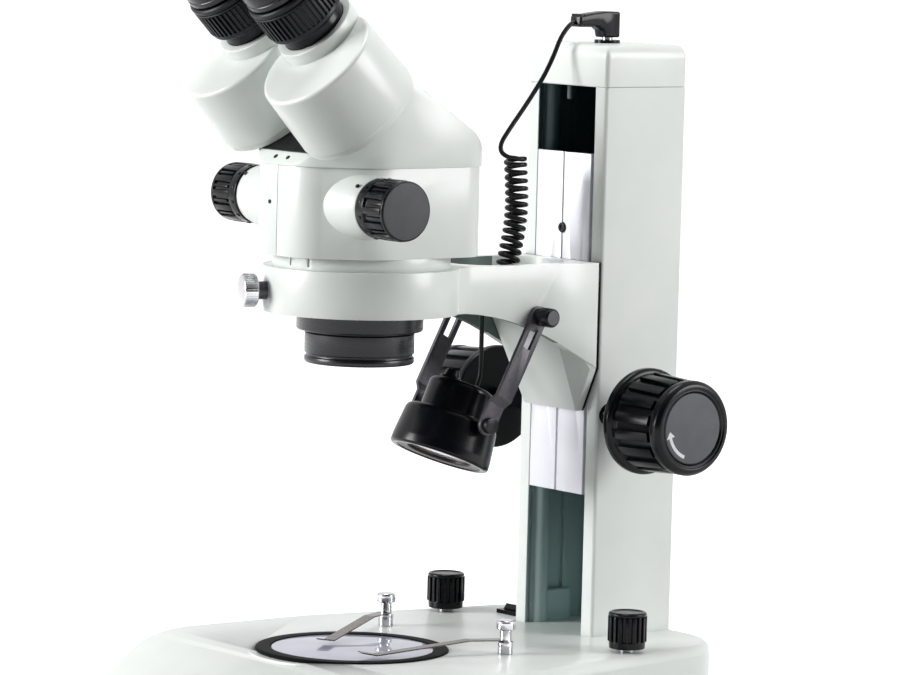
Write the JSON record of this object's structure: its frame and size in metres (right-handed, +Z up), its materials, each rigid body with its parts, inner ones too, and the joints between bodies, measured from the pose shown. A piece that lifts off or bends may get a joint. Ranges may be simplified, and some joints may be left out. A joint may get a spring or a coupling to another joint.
{
  "type": "stereo microscope",
  "caption": "Binocular zoom stereo microscope on a rack-and-pinion pillar stand with a lit stage base, stage clips and a tilting side lamp on a coiled cord.",
  "frame": {"origin": "on the table, under the middle of the base", "axes": "+X to the user's right, +Y away from the user towards the column, +Z up"},
  "size_m": [0.2, 0.304, 0.418],
  "materials": {
    "painted_white": "satin off-white enamel",
    "painted_black": "satin black enamel",
    "black_plastic": "fine satin",
    "anodised": "silver anodised",
    "steel": "turned",
    "dark_sheet": "black zinc",
    "chrome": "polished",
    "brass": "machined",
    "rubber": "matte",
    "frosted_glass": "frosted",
    "clear_glass": "coated",
    "board": "white solder mask"
  },
  "bodies": {
    "base": {"base_housing": "painted_white", "bottom_plate": "dark_sheet", "rubber_feet": "rubber", "base_screws": "steel", "stage_ring": "black_plastic", "stage_glass": "frosted_glass", "led_board": "board", "power_inlet": "black_plastic", "dimmer_pots": "steel", "switch_frame": "black_plastic", "column": "painted_white", "column_cap": "painted_white", "lamp_socket": "black_plastic", "pinion_bushes": "dark_sheet", "lamp_plug": "black_plastic", "lamp_cord": "rubber", "lamp_coil": "rubber"},
    "focus_pinion": {"pinion_shaft": "steel", "focus_knob_right": "black_plastic", "focus_knob_left": "black_plastic"},
    "carriage": {"slide_plate": "anodised", "focus_rack": "brass", "focus_arm": "painted_white", "arm_screws": "steel", "lamp_lead": "rubber"},
    "head_clamp": {"head_clamp_knob": "chrome"},
    "head": {"head_flange": "painted_white", "lower_housing": "painted_white", "top_housing": "painted_white", "linkage_plate": "dark_sheet", "objective_barrel": "painted_black", "objective_lens": "clear_glass", "head_screws": "steel"},
    "zoom": {"zoom_shaft": "steel", "zoom_knob_right": "black_plastic", "zoom_knob_left": "black_plastic"},
    "eyetube_assembly_right": {"prism_housing_right": "painted_white", "eyetube_right": "painted_black", "eye_lens_right": "clear_glass", "eyepiece_right": "painted_black", "eyecup_right": "rubber"},
    "eyetube_assembly_left": {"prism_housing_left": "painted_white", "eyetube_left": "painted_black", "eye_lens_left": "clear_glass", "eyepiece_left": "painted_black", "eyecup_left": "rubber"},
    "dioptre_right": {"dioptre_ring_right": "black_plastic"},
    "dioptre_left": {"dioptre_ring_left": "black_plastic"},
    "lamp_bracket": {"lamp_bracket": "dark_sheet"},
    "lamp": {"lamp_housing": "painted_black", "lamp_lens": "clear_glass", "lamp_pivots": "steel"},
    "bracket_screw_right": {"bracket_screw_right": "black_plastic"},
    "bracket_screw_left": {"bracket_screw_left": "black_plastic"},
    "stage_clip_right": {"stage_clip_right": "chrome"},
    "stage_clip_left": {"stage_clip_left": "chrome"},
    "dimmer_right": {"dimmer_knob_right": "black_plastic"},
    "dimmer_left": {"dimmer_knob_left": "black_plastic"},
    "power_rocker": {"power_rocker": "black_plastic"}
  },
  "joints": [
    {"name": "focus_slide", "type": "slide", "parent": "base", "child": "carriage", "axis": [0, 0, 1], "range_m": [-0.05, 0.028], "deforming": ["lamp_cord", "lamp_coil"]},
    {"name": "focus_knobs", "type": "hinge", "parent": "base", "child": "focus_pinion", "pos_m": [0, 0.10308, 0.166], "axis": [-1, 0, 0], "range_deg": [-721, 404.2]},
    {"name": "head_clamp_turn", "type": "hinge", "parent": "carriage", "child": "head_clamp", "pos_m": [-0.01642, -0.07511, 0.2305], "axis": [-0.342, -0.9397, 0], "range_deg": [0, 540]},
    {"name": "head_turn", "type": "hinge", "parent": "carriage", "child": "head", "pos_m": [0, -0.03, 0.2425], "axis": [0, 0, 1], "range_deg": [-45, 45]},
    {"name": "zoom_turn", "type": "hinge", "parent": "head", "child": "zoom", "pos_m": [0, -0.0567, 0.2745], "axis": [1, 0, 0], "range_deg": [-110, 110]},
    {"name": "eye_spread_right", "type": "hinge", "parent": "head", "child": "eyetube_assembly_right", "pos_m": [0.034, -0.085, 0.3452], "axis": [0, -0.7071, 0.7071], "range_deg": [-45, 5]},
    {"name": "eye_spread_left", "type": "hinge", "parent": "head", "child": "eyetube_assembly_left", "pos_m": [-0.034, -0.085, 0.3452], "axis": [0, -0.7071, 0.7071], "range_deg": [-5, 45]},
    {"name": "dioptre_turn_right", "type": "hinge", "parent": "eyetube_assembly_right", "child": "dioptre_right", "pos_m": [0.02423, -0.07456, 0.35564], "axis": [0, -0.7071, 0.7071], "range_deg": [-120, 120]},
    {"name": "dioptre_turn_left", "type": "hinge", "parent": "eyetube_assembly_left", "child": "dioptre_left", "pos_m": [-0.02423, -0.07456, 0.35564], "axis": [0, -0.7071, 0.7071], "range_deg": [-120, 120]},
    {"name": "bracket_tilt", "type": "hinge", "parent": "carriage", "child": "lamp_bracket", "pos_m": [0, 0.056, 0.2173], "axis": [1, 0, 0], "range_deg": [-12, 12], "deforming": ["lamp_lead"]},
    {"name": "lamp_tilt", "type": "hinge", "parent": "lamp_bracket", "child": "lamp", "pos_m": [0, 0.02783, 0.16432], "axis": [1, 0, 0], "range_deg": [-15, 25], "deforming": ["lamp_lead"]},
    {"name": "bracket_screw_turn_right", "type": "hinge", "parent": "carriage", "child": "bracket_screw_right", "pos_m": [0.031, 0.056, 0.2173], "axis": [1, 0, 0], "range_deg": [0, 360]},
    {"name": "bracket_screw_turn_left", "type": "hinge", "parent": "carriage", "child": "bracket_screw_left", "pos_m": [-0.031, 0.056, 0.2173], "axis": [-1, 0, 0], "range_deg": [0, 360]},
    {"name": "clip_turn_right", "type": "hinge", "parent": "base", "child": "stage_clip_right", "pos_m": [0.049, 0.027, 0.054], "axis": [0, 0, 1], "range_deg": [-40, 60]},
    {"name": "clip_turn_left", "type": "hinge", "parent": "base", "child": "stage_clip_left", "pos_m": [-0.049, 0.027, 0.054], "axis": [0, 0, 1], "range_deg": [-60, 40]},
    {"name": "dimmer_turn_right", "type": "hinge", "parent": "base", "child": "dimmer_right", "pos_m": [0.0735, 0.084, 0.054], "axis": [0, 0, 1], "range_deg": [-270, 0]},
    {"name": "dimmer_turn_left", "type": "hinge", "parent": "base", "child": "dimmer_left", "pos_m": [-0.0735, 0.084, 0.054], "axis": [0, 0, 1], "range_deg": [-270, 0]},
    {"name": "power_rock", "type": "hinge", "parent": "base", "child": "power_rocker", "pos_m": [-0.048, 0.114, 0.0535], "axis": [1, 0, 0], "range_deg": [-14, 0]}
  ],
  "couplings": [
    {"joint": "focus_knobs", "follows": "focus_slide", "rad_per_m": 251.33},
    {"joint": "eye_spread_left", "follows": "eye_spread_right", "ratio": -1}
  ]
}
